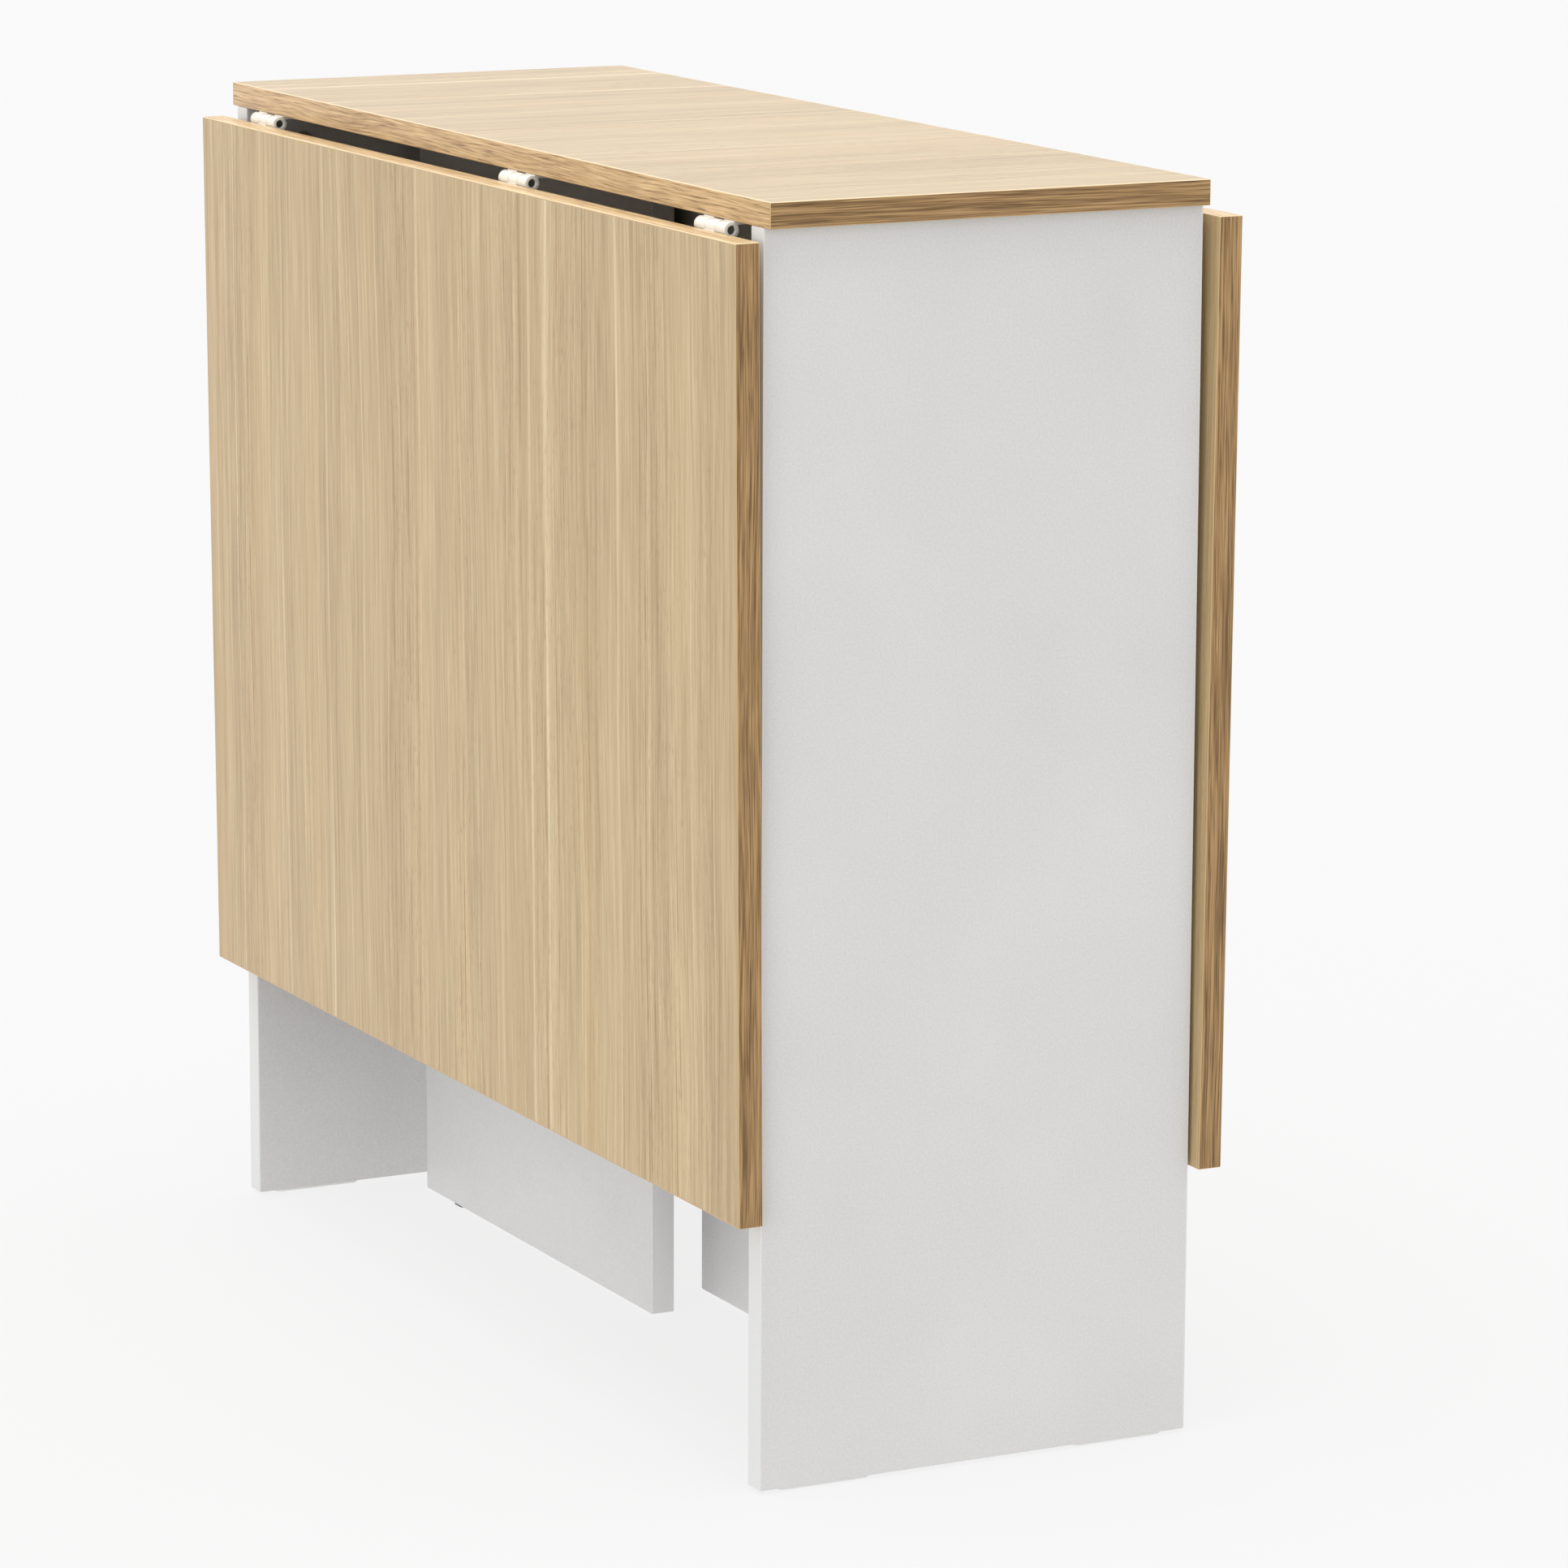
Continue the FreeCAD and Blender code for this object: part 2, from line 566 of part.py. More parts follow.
def spine_panel():
    """The board along the middle that ties the ends together and carries the gate hinges."""
    half = END_INNER
    length = "2 * %s" % half
    body = slab("+X", "0 - board / 2", "0 - %s" % half, "band", length, "%s - band" % SPINE_HEIGHT, "board")
    end_bolts = ["%s - spine_bottom" % height for height in ("spine_cam_low", "spine_cam_high")]
    top_cam = "%s - cam_reach" % SPINE_HEIGHT
    cams = [(sign + "spine_cam_along", top_cam) for sign in SIGNS]
    cams += [("%s(%s - cam_reach)" % (sign, half), height) for sign in SIGNS for height in end_bolts]
    drill(body, "-X", "board / 2", CAM_POCKET, CAM_POCKET_DEPTH, cams)
    channels = [("0", sign + "spine_cam_along") for sign in SIGNS]
    drill(body, "-Z", SPINE_HEIGHT, CHANNEL, "cam_reach", channels)
    dowels = [("0", sign + "spine_dowel_along") for sign in SIGNS]
    drill(body, "-Z", SPINE_HEIGHT, DOWEL_HOLE, DOWEL_IN_EDGE, dowels)
    for direction, level in (("-Y", half), ("+Y", "0 - %s" % half)):
        drill(body, direction, level, CHANNEL, "cam_reach", [("0", height) for height in end_bolts])
        drill(body, direction, level, DOWEL_HOLE, DOWEL_IN_EDGE, [("0", "spine_dowel - spine_bottom")])
    for direction, level, sign in (("-X", "board / 2", ""), ("+X", "0 - board / 2", "0 - ")):
        spots = []
        for _, height in GATE_HINGES:
            for away, along in screw_spots("gate_hinge"):
                y_place = "%s(gate_axis_along - %s)" % (sign, away)
                spots.append((y_place, "%s - spine_bottom + %s" % (height, along)))
        drill(body, direction, level, SCREW_HOLE, SCREW_DEPTH, spots)
    place = shifted("0", "0", "spine_bottom")
    keep(body, "spine_panel", place)
    strips("spine_panel_edging", [
        ("0 - board / 2", "0 - %s" % half, "0", "board", length, "band"),
    ], place)


# ---------------------------------------------------------------- fittings that join the carcass

# A cam lock is drawn with its face towards -Z: this turns the face to look along +Z instead.
FACE_BACK = Rotation(Vector(0, 1, 0), 180)


def carcass_fittings():
    """Cam locks, cam bolts and dowels, each group as separate solids."""
    up = Rotation()
    into_end = Rotation(Vector(1, 0, 0), 90)
    end_up = value(END_MIDDLE)
    underside = value(UNDERSIDE)
    bolts = []
    dowels = []
    cams = []
    for turn in (Placement(), HALF_TURN):
        for sign in (1, -1):
            cam_x = sign * value("cam_spread")
            bolts.append(turn * Placement(Vector(cam_x, -end_up, underside), up))
            face = Vector(cam_x, -value(END_INNER), underside - value("cam_reach"))
            cams.append(turn * Placement(face, turned_to((-1, 0, 0), (0, 0, 1), (0, 1, 0)) * FACE_BACK))
            dowels.append(turn * Placement(Vector(sign * value("dowel_spread"), -end_up, underside), up))
        for height in ("spine_cam_low", "spine_cam_high"):
            bolts.append(turn * Placement(Vector(0, -value(END_INNER), value(height)), into_end))
        dowels.append(turn * Placement(Vector(0, -value(END_INNER), value("spine_dowel")), into_end))
    half_board = value("board / 2")
    for sign in (1, -1):
        along = sign * value("spine_cam_along")
        bolts.append(Placement(Vector(0, along, underside), up))
        cam_at = Vector(half_board, along, underside - value("cam_reach"))
        cams.append(Placement(cam_at, turned_to((0, 1, 0), (0, 0, 1), (1, 0, 0)) * FACE_BACK))
        dowels.append(Placement(Vector(0, sign * value("spine_dowel_along"), underside), up))
        end_cam = sign * value("%s - cam_reach" % END_INNER)
        for height in ("spine_cam_low", "spine_cam_high"):
            cam_at = Vector(half_board, end_cam, value(height))
            cams.append(Placement(cam_at, turned_to((0, 0, -sign), (0, sign, 0), (1, 0, 0)) * FACE_BACK))
    group("cam_locks", cam, cams)
    group("cam_bolts", bolt, bolts)
    group("dowels", beech_dowel, dowels)


# ---------------------------------------------------------------- leaves

def leaf(side, turn):
    """A leaf with its bands, hinges, rest block and screws, in the frame of its hinge axis."""
    hung = turn * leaf_axis * leaf_lean
    fixed = turn * leaf_axis
    top = "(0 - leaf_edge_gap)"
    bottom = "(0 - leaf_edge_gap - leaf_drop)"
    body = slab("+X", "leaf_hinge_offset", "band - table_length / 2", "%s + band" % bottom,
                "table_length - 2 * band", "leaf_drop - 2 * band", "board")
    spots = []
    for _, middle in LEAF_HINGES:
        for away, along in screw_spots("leaf_hinge"):
            spots.append(("%s + %s" % (middle, along), "0 - %s" % away))
    drill(body, "+X", "leaf_hinge_offset", SCREW_HOLE, SCREW_DEPTH, spots)
    drill(body, "+X", "leaf_hinge_offset", SCREW_HOLE,
          "block_screw_length - %s + hole_end_gap" % BLOCK_PAD, block_screw_spots())
    keep(body, side + "_leaf", hung)
    low_end = "0 - table_length / 2"
    inner_end = "%s + band" % low_end
    inner_length = "table_length - 2 * band"
    strips(side + "_leaf_edging", [
        ("leaf_hinge_offset", low_end, bottom, "board", "band", "leaf_drop"),
        ("leaf_hinge_offset", "table_length / 2 - band", bottom, "board", "band", "leaf_drop"),
        ("leaf_hinge_offset", inner_end, bottom, "board", inner_length, "band"),
        ("leaf_hinge_offset", inner_end, "%s - band" % top, "board", inner_length, "band"),
    ], hung)
    origins = []
    for spot, middle in LEAF_HINGES:
        origin = Vector(0, value(middle), 0)
        origins.append(origin)
        name = "%s_leaf_hinge_%s" % (side, hinge_name(side, spot))
        keep(hinge_wing("leaf_hinge", False), name + "_top_wing", fixed * Placement(origin, TOP_WING))
        keep(hinge_wing("leaf_hinge", True), name + "_leaf_wing", hung * Placement(origin, LEAF_WING))
    pin_places = [Placement(origin, TOP_WING) for origin in origins]
    group(side + "_leaf_hinge_pins", pins["leaf_hinge"], pin_places, fixed)
    group(side + "_top_wing_screws", hinge_screw, wing_screws("leaf_hinge", TOP_WING, origins), fixed)
    group(side + "_leaf_wing_screws", hinge_screw, wing_screws("leaf_hinge", LEAF_WING, origins), hung)
    rest_block(side, hung)


def block_screw_spots():
    """Where the rest block's two screws stand on the inner face of the leaf."""
    middle = "(gate_axis_along + gate_hinge_offset + board / 2)"
    return [(middle, "0 - block_near - %d * block_length / 4" % quarter) for quarter in (1, 3)]


def rest_block(side, hung):
    """The block that the opened gate carries: a pad, and a lip that stops the gate."""
    gate_near = "(gate_axis_along + gate_hinge_offset)"
    gate_far = "(gate_axis_along + gate_hinge_offset + board)"
    pad_face = "(leaf_hinge_offset - %s)" % BLOCK_PAD
    open_end = "(%s - block_margin)" % gate_near
    lip_inner = "(%s + block_gap)" % gate_far
    lip_outer = "(%s + block_gap + block_lip)" % gate_far
    lip_face = "(%s - block_lip_drop)" % pad_face
    body = doc.addObject("PartDesign::Body", "Block")
    sketch = sketch_on(body, "Z", "0 - block_near - block_length")
    outline(sketch, [
        ("leaf_hinge_offset", open_end),
        ("leaf_hinge_offset", lip_outer),
        ("%s + block_lip_outside" % lip_face, lip_outer),
        (lip_face, "%s - block_lip_outside" % lip_outer),
        (lip_face, "%s + block_lip_inside" % lip_inner),
        ("%s + block_lip_inside" % lip_face, lip_inner),
        (pad_face, lip_inner),
        (pad_face, "%s + block_lead_in" % open_end),
        ("%s + block_lead_in" % pad_face, open_end),
    ])
    extrude(body, "Pad", sketch, "block_length", "+Z")
    drill(body, "+X", pad_face, SCREW_HOLE, BLOCK_PAD, block_screw_spots())
    drill(body, "+X", pad_face, "(screw_head + fit_gap)", "leaf_hinge_plate", block_screw_spots())
    keep(body, side + "_rest_block", hung)
    point_out = Rotation(Vector(0, 1, 0), 90)
    places = []
    for along, height in block_screw_spots():
        places.append(Placement(Vector(value(pad_face), value(along), value(height)), point_out))
    group(side + "_rest_block_screws", block_screw, places, hung)


# ---------------------------------------------------------------- gates

def gate(side, turn):
    """A gate with its bands, hinges, glide and screws, in the frame of its hinge axis."""
    hung = turn * gate_axis
    free_end = "(gate_past_axis - gate_length)"
    height = "(gate_top - glide_height)"
    start = "%s + band" % free_end
    length = "gate_length - 2 * band"
    body = slab("+X", "gate_hinge_offset", start, "glide_height", length, "%s - band" % height, "board")
    spots = []
    for _, middle in GATE_HINGES:
        for away, along in screw_spots("gate_hinge"):
            spots.append(("0 - %s" % away, "%s + %s" % (middle, along)))
    drill(body, "+X", "gate_hinge_offset", SCREW_HOLE, SCREW_DEPTH, spots)
    keep(body, side + "_gate", hung)
    strips(side + "_gate_edging", [
        ("gate_hinge_offset", free_end, "glide_height", "board", "band", height),
        ("gate_hinge_offset", "gate_past_axis - band", "glide_height", "board", "band", height),
        ("gate_hinge_offset", start, "gate_top - band", "board", length, "band"),
    ], hung)
    origins = []
    for spot, middle in GATE_HINGES:
        origin = Vector(0, 0, value(middle))
        origins.append(origin)
        name = "%s_gate_hinge_%s" % (side, spot)
        keep(hinge_wing("gate_hinge", False), name + "_spine_wing", hung * Placement(origin, SPINE_WING))
        keep(hinge_wing("gate_hinge", True), name + "_gate_wing", hung * Placement(origin, GATE_WING))
    pin_places = [Placement(origin, Rotation()) for origin in origins]
    group(side + "_gate_hinge_pins", pins["gate_hinge"], pin_places, hung)
    group(side + "_spine_wing_screws", hinge_screw, wing_screws("gate_hinge", SPINE_WING, origins), hung)
    group(side + "_gate_wing_screws", hinge_screw, wing_screws("gate_hinge", GATE_WING, origins), hung)
    glide_at = Vector(value("gate_hinge_offset + board / 2"), value("%s + gate_glide_edge" % free_end), 0)
    group(side + "_gate_glide", gate_glide, [Placement(glide_at, Rotation())], hung)


# ---------------------------------------------------------------- glides under the end panels

def end_panel_glides():
    """Two strips under each end panel, set in from its edges."""
    across = Rotation(Vector(0, 0, 1), 90)
    from_middle = value("top_width / 2 - panel_glide_edge - panel_glide_length / 2")
    places = []
    for end in (-1, 1):
        for sign in (-1, 1):
            places.append(Placement(Vector(sign * from_middle, end * value(END_MIDDLE), 0), across))
    group("end_panel_glides", panel_glide, places)


centre_top()
end_panel("near_end_panel", Placement())
end_panel("far_end_panel", HALF_TURN)
spine_panel()
carcass_fittings()
end_panel_glides()
for side_name, side_turn in SIDES.items():
    leaf(side_name, side_turn)
    gate(side_name, side_turn)
doc.recompute()

# ---------------------------------------------------------------- checks and export

for item in doc.Objects:
    if "Invalid" in item.State or "Error" in item.State:
        raise RuntimeError("%s (%s) did not build: %s" % (item.Label, item.Name, item.State))
LEAST_TAKEN = 0.5
for before, pocket, drawn in drilled:
    taken = before.Shape.Volume - pocket.Shape.Volume
    if taken < LEAST_TAKEN * drawn:
        raise RuntimeError("%s took %.0f of %.0f cubic mm" % (pocket.Name, taken, drawn))
os.makedirs("parts", exist_ok=True)
for item in sub_parts:
    shape = item.Shape
    if shape.isNull() or not shape.isValid():
        raise RuntimeError("%s has no valid shape" % item.Label)
    shape.exportStep("parts/%s.step" % item.Label)
print("%d sub-parts written" % len(sub_parts))
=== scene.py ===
import bmesh
import bpy
import json
import math
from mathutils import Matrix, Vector

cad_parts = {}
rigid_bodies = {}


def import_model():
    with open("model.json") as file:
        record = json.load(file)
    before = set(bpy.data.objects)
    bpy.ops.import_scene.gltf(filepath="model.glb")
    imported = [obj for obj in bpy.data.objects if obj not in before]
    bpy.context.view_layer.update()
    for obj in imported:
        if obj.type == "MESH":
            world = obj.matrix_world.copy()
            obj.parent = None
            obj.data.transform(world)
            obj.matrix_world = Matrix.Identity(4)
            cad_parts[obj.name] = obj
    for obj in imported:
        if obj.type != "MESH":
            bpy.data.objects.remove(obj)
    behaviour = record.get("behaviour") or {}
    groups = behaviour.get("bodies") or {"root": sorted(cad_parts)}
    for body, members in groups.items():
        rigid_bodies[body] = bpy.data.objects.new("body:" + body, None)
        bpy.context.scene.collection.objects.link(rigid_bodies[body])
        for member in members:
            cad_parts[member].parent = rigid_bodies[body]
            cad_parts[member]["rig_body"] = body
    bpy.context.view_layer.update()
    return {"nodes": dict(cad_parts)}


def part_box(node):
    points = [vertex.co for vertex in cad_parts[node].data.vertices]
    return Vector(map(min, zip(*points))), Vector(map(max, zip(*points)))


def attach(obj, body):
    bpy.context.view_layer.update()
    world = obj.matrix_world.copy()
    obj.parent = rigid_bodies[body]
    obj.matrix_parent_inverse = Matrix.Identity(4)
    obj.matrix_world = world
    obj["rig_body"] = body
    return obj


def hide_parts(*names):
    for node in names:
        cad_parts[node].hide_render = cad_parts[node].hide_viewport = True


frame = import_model()
nodes = frame["nodes"]

MM = 0.001
AXES = "XYZ"

# Noise lies around 0.5 and seldom leaves this range.
NOISE_LOW = 0.3
NOISE_HIGH = 0.7


# ---------------------------------------------------------------- materials

def shade(red, green, blue):
    """A linear colour from the red, green and blue of a screen, 0 to 255."""
    linear = []
    for level in (red, green, blue):
        part = level / 255
        linear.append(part / 12.92 if part <= 0.04045 else ((part + 0.055) / 1.055) ** 2.4)
    return (*linear, 1)


class Recipe:
    """A material in the making, with short calls for the shader nodes that the finishes share."""

    def __init__(self, name):
        self.material = bpy.data.materials.new(name)
        self.material.use_nodes = True
        self.tree = self.material.node_tree
        self.tree.nodes.clear()
        self.shader = self.add("ShaderNodeBsdfPrincipled")
        output = self.add("ShaderNodeOutputMaterial")
        self.tree.links.new(self.shader.outputs["BSDF"], output.inputs["Surface"])
        self.place = self.add("ShaderNodeTexCoord")

    def add(self, kind, **settings):
        node = self.tree.nodes.new(kind)
        for key, setting in settings.items():
            setattr(node, key, setting)
        return node

    def feed(self, socket, source):
        """Links another node's output to a socket, or sets the socket to a plain value."""
        if isinstance(source, bpy.types.NodeSocket):
            self.tree.links.new(source, socket)
        else:
            socket.default_value = source

    def split(self, vector):
        """The node that gives the X, Y and Z of a vector."""
        node = self.add("ShaderNodeSeparateXYZ")
        self.feed(node.inputs[0], vector)
        return node

    def stretch(self, per_metre, shift=(0, 0, 0), place=None):
        """The piece's own coordinates, or a given place, in features per metre along X, Y and Z."""
        mapping = self.add("ShaderNodeMapping", vector_type="POINT")
        self.feed(mapping.inputs["Vector"], place or self.place.outputs["Object"])
        mapping.inputs["Scale"].default_value = per_metre
        mapping.inputs["Location"].default_value = shift
        return mapping.outputs["Vector"]

    def noise(self, vector, detail=2, roughness=0.5):
        noise = self.add("ShaderNodeTexNoise", noise_dimensions="3D")
        self.feed(noise.inputs["Vector"], vector)
        noise.inputs["Scale"].default_value = 1
        noise.inputs["Detail"].default_value = detail
        noise.inputs["Roughness"].default_value = roughness
        return noise.outputs["Fac"]

    def even_noise(self, per_metre, **settings):
        """Noise with the same number of features per metre in every direction."""
        return self.noise(self.stretch([per_metre] * 3), **settings)

    def spread(self, value, low, high, to_low=0, to_high=1, smooth=False):
        """Carries low..high to to_low..to_high and holds it there outside."""
        spread = self.add("ShaderNodeMapRange", clamp=True)
        spread.interpolation_type = "SMOOTHSTEP" if smooth else "LINEAR"
        for socket, source in zip(spread.inputs, (value, low, high, to_low, to_high)):
            self.feed(socket, source)
        return spread.outputs["Result"]

    def math(self, operation, *values):
        node = self.add("ShaderNodeMath", operation=operation)
        for socket, source in zip(node.inputs, values):
            self.feed(socket, source)
        return node.outputs["Value"]

    def mix(self, factor, first, second):
        """Goes from the first colour to the second one as the factor goes from 0 to 1."""
        mix = self.add("ShaderNodeMix", data_type="RGBA")
        factor_socket = mix.inputs[0]
        first_socket, second_socket = [socket for socket in mix.inputs if socket.type == "RGBA"]
        self.feed(factor_socket, factor)
        self.feed(first_socket, first)
        self.feed(second_socket, second)
        return [socket for socket in mix.outputs if socket.type == "RGBA"][0]

    def bump(self, height, distance, strength):
        bump = self.add("ShaderNodeBump")
        bump.inputs["Distance"].default_value = distance
        bump.inputs["Strength"].default_value = strength
        self.feed(bump.inputs["Height"], height)
        return bump.outputs["Normal"]

    def finish(self, colour, roughness, normal=None, **settings):
        """Connects the shader. The settings are plain values of its other sockets."""
        self.feed(self.shader.inputs["Base Color"], colour)
        self.feed(self.shader.inputs["Roughness"], roughness)
        if normal is not None:
            self.feed(self.shader.inputs["Normal"], normal)
        for key, setting in settings.items():
            self.shader.inputs[key.replace("_", " ")].default_value = setting
        return self.material


# How far from 0.5 the noise that bends the grain goes at most.
WIDEST_STRAY = 0.25


class Grain:
    """Patterns stretched along the grain of one piece of wood. All sizes are in millimetres.

    The whole grain strays sideways by up to the waver, and back, over about the run.
    """

    def __init__(self, recipe, along, across, shift, waver, run):
        self.recipe = recipe
        self.along = AXES.index(along)
        self.across = AXES.index(across)
        self.shift = shift
        self.place = None
        stray = recipe.math("SUBTRACT", self.streaks(length=run, width=run / 3, detail=1), 0.5)
        offset = recipe.add("ShaderNodeCombineXYZ")
        sideways = recipe.math("MULTIPLY", stray, waver * MM / WIDEST_STRAY)
        recipe.feed(offset.inputs[self.across], sideways)
        moved = recipe.add("ShaderNodeVectorMath", operation="ADD")
        recipe.feed(moved.inputs[0], recipe.place.outputs["Object"])
        recipe.feed(moved.inputs[1], offset.outputs["Vector"])
        self.place = moved.outputs["Vector"]

    def stretched(self, length, width):
        per_metre = [1, 1, 1]
        per_metre[self.along] = 1 / (length * MM)
        per_metre[self.across] = 1 / (width * MM)
        return self.recipe.stretch(per_metre, self.shift, self.place)

    def streaks(self, length, width, **settings):
        """Soft streaks of about the given size, around 0.5."""
        return self.recipe.noise(self.stretched(length, width), **settings)

    def lines(self, spacing, half_width):
        """Thin lines at random places: on a line its own random strength, 0 between the lines."""
        position = self.recipe.split(self.stretched(spacing, spacing)).outputs[self.across]
        cells = self.recipe.add("ShaderNodeTexVoronoi", voronoi_dimensions="1D", feature="F1")
        self.recipe.feed(cells.inputs["W"], position)
        cells.inputs["Scale"].default_value = 1
        distance = cells.outputs["Distance"]
        line = self.recipe.spread(distance, 0, half_width / spacing, to_low=1, to_high=0, smooth=True)
        return self.recipe.math("MULTIPLY", line, cells.outputs["Color"])

    def tone(self, *layers):
        """A sum of streaks about the middle tone: each layer is its strength and its streaks."""
        total = 0.5
        for strength, streaks in layers:
            part = self.recipe.math("MULTIPLY", self.recipe.math("SUBTRACT", streaks, 0.5), strength)
            total = self.recipe.math("ADD", part, total)
        return total


OAK_DARK = shade(156, 129, 87)
OAK_LIGHT = shade(210, 186, 143)
OAK_WARM = shade(197, 164, 116)
OAK_HAIR = shade(146, 107, 57)
OAK_THREAD = shade(230, 211, 172)
OAK_PORE = shade(140, 103, 56)
CLEAR_PLASTIC_IOR = 1.5


def oak_laminate(name, along, across, shift, thread_strength):
    """Straight light oak: soft bands and streaks, pale threads, clusters of dark hairlines, pores."""
    recipe = Recipe(name)
    grain = Grain(recipe, along, across, shift, waver=5, run=420)
    bands = grain.streaks(length=1300, width=30, detail=2)
    stripes = grain.streaks(length=300, width=5.5, detail=2, roughness=0.6)
    fine = grain.streaks(length=70, width=2.0, detail=2, roughness=0.65)
    tone = grain.tone((0.75, bands), (0.9, stripes), (1.15, fine))
    colour = recipe.mix(recipe.spread(tone, 0, 1), OAK_DARK, OAK_LIGHT)
    warmth = grain.streaks(length=700, width=40, detail=1)
    warmth = recipe.spread(warmth, 0.5, 0.75, to_low=0, to_high=0.35)
    colour = recipe.mix(warmth, colour, OAK_WARM)

    clusters = grain.streaks(length=900, width=60, detail=1)
    clusters = recipe.spread(clusters, 0.44, 0.62, to_low=0.15, to_high=1)
    dashes = recipe.spread(grain.streaks(length=60, width=5, detail=1), 0.38, 0.6)
    hairs = recipe.math("MULTIPLY", grain.lines(spacing=6, half_width=1.1), clusters)
    hairs = recipe.math("MULTIPLY", hairs, dashes)
    hair_strength = 1.15
    colour = recipe.mix(recipe.math("MULTIPLY", hairs, hair_strength), colour, OAK_HAIR)

    fading = grain.streaks(length=260, width=20, detail=1)
    fading = recipe.spread(fading, 0.38, 0.62, to_low=0.4, to_high=1.3)
    thin_threads = recipe.math("MULTIPLY", grain.lines(spacing=31, half_width=1.1), 0.6)
    threads = recipe.math("MAXIMUM", grain.lines(spacing=105, half_width=2.6), thin_threads)
    threads = recipe.math("MULTIPLY", threads, recipe.math("MULTIPLY", fading, thread_strength))
    colour = recipe.mix(threads, colour, OAK_THREAD)

    pores = grain.streaks(length=10, width=0.9, detail=1, roughness=0.7)
    pores = recipe.spread(pores, 0.58, 0.72, smooth=True)
    pore_strength = recipe.spread(clusters, 0.15, 1, to_low=0.15, to_high=0.5)
    pores = recipe.math("MULTIPLY", pores, pore_strength)
    colour = recipe.mix(pores, colour, OAK_PORE)
    height = recipe.math("SUBTRACT", recipe.math("MULTIPLY", fine, 0.3), pores)
    normal = recipe.bump(height, distance=0.02 * MM, strength=0.5)
    roughness = recipe.spread(height, -0.4, 0.3, to_low=0.36, to_high=0.27)
    return recipe.finish(colour, roughness, normal, IOR=CLEAR_PLASTIC_IOR)


def printed_band(recipe, grain, length, tones):
    """The print of an edge band: streaks of about the given length, and dark dashes in them."""
    broad = grain.streaks(length=4 * length, width=6, detail=1)
    streaks = grain.streaks(length=length, width=1.4, detail=2)
    fine = grain.streaks(length=length / 2, width=0.7, detail=1)
    tone = grain.tone((0.6, broad), (1.9, streaks), (1.8, fine))
    colour = recipe.mix(recipe.spread(tone, 0, 1), tones["dark"], tones["light"])
    dashes = grain.streaks(length=length / 3, width=0.6, detail=1)
    dashes = recipe.spread(dashes, 0.54, 0.66, smooth=True)
    dash_strength = recipe.spread(streaks, 0.62, 0.42, to_low=0.15, to_high=0.75)
    dashes = recipe.math("MULTIPLY", dashes, dash_strength)
    return recipe.mix(dashes, colour, tones["dash"])


MILLED_PLASTIC = shade(192, 161, 114)
# The lighter colour of an arris that looks up is a painted highlight, standing in for the light from
# above.
MILLED_PLASTIC_PAINTED_HIGHLIGHT = shade(232, 210, 172)
# The parts of a unit normal between which a band's look goes over from one to the other.
ALL_MILLED = 0.93
ALL_PRINTED = 0.985
ALL_LONG_SIDE = 0.6
ALL_END = 0.8
ALL_WITHOUT_HIGHLIGHT = 0.1
ALL_PAINTED_HIGHLIGHT = 0.5


def oak_band(name, long_side, end_side, shift):
    """Edge bands of an oak board: printed outside, bare plastic where the arris is milled.

    The bands face outward along two axes, and where the normal turns away from both, the print
    gives way to the plastic. An arris that looks up gets a lighter plastic colour: a painted highlight.
    """
    recipe = Recipe(name)
    normal = recipe.split(recipe.place.outputs["Normal"])
    facing = {axis: recipe.math("ABSOLUTE", normal.outputs[axis]) for axis in AXES}
    prints = []
    for side in (long_side, end_side):
        length = side["streak_length"]
        grain = Grain(recipe, side["along"], side["across"], shift, waver=1.5, run=2 * length)
        prints.append(printed_band(recipe, grain, length, side["tones"]))
    is_end = recipe.spread(facing[end_side["faces"]], ALL_LONG_SIDE, ALL_END)
    decor = recipe.mix(is_end, *prints)
    # Arrises that look up get the painted highlight, more of it as their normal turns upward.
    is_painted_highlight = recipe.spread(normal.outputs["Z"], ALL_WITHOUT_HIGHLIGHT, ALL_PAINTED_HIGHLIGHT)
    plastic = recipe.mix(is_painted_highlight, MILLED_PLASTIC, MILLED_PLASTIC_PAINTED_HIGHLIGHT)
    outward = recipe.math("MAXIMUM", facing[long_side["faces"]], facing[end_side["faces"]])
    is_printed = recipe.spread(outward, ALL_MILLED, ALL_PRINTED)
    colour = recipe.mix(is_printed, plastic, decor)
    return recipe.finish(colour, roughness=0.36, IOR=CLEAR_PLASTIC_IOR)


def melamine(name, colour_low, colour_high, roughness):
    """White melamine: a faint speckle and cloudiness, and a fine pearl in the surface."""
    recipe = Recipe(name)
    cloud = recipe.math("MULTIPLY", recipe.even_noise(per_metre=9, detail=3), 0.3)
    speckle = recipe.math("MULTIPLY", recipe.even_noise(per_metre=650, detail=3, roughness=0.7), 0.7)
    mottle = recipe.spread(recipe.math("ADD", cloud, speckle), 0.35, 0.65)
    colour = recipe.mix(mottle, colour_low, colour_high)
    pearl = recipe.even_noise(per_metre=1400, detail=1)
    normal = recipe.bump(pearl, distance=0.015 * MM, strength=0.5)
    return recipe.finish(colour, roughness, normal, IOR=CLEAR_PLASTIC_IOR)


def lacquered_steel(name):
    """White lacquer with a slight orange peel, glossy on top."""
    recipe = Recipe(name)
    orange_peel = recipe.even_noise(per_metre=700)
    tint = recipe.spread(orange_peel, NOISE_LOW, NOISE_HIGH)
    colour = recipe.mix(tint, shade(232, 229, 221), shade(240, 237, 230))
    normal = recipe.bump(orange_peel, distance=0.03 * MM, strength=0.5)
    return recipe.finish(colour, roughness=0.3, normal=normal, IOR=CLEAR_PLASTIC_IOR,
                         Coat_Weight=0.4, Coat_Roughness=0.15)


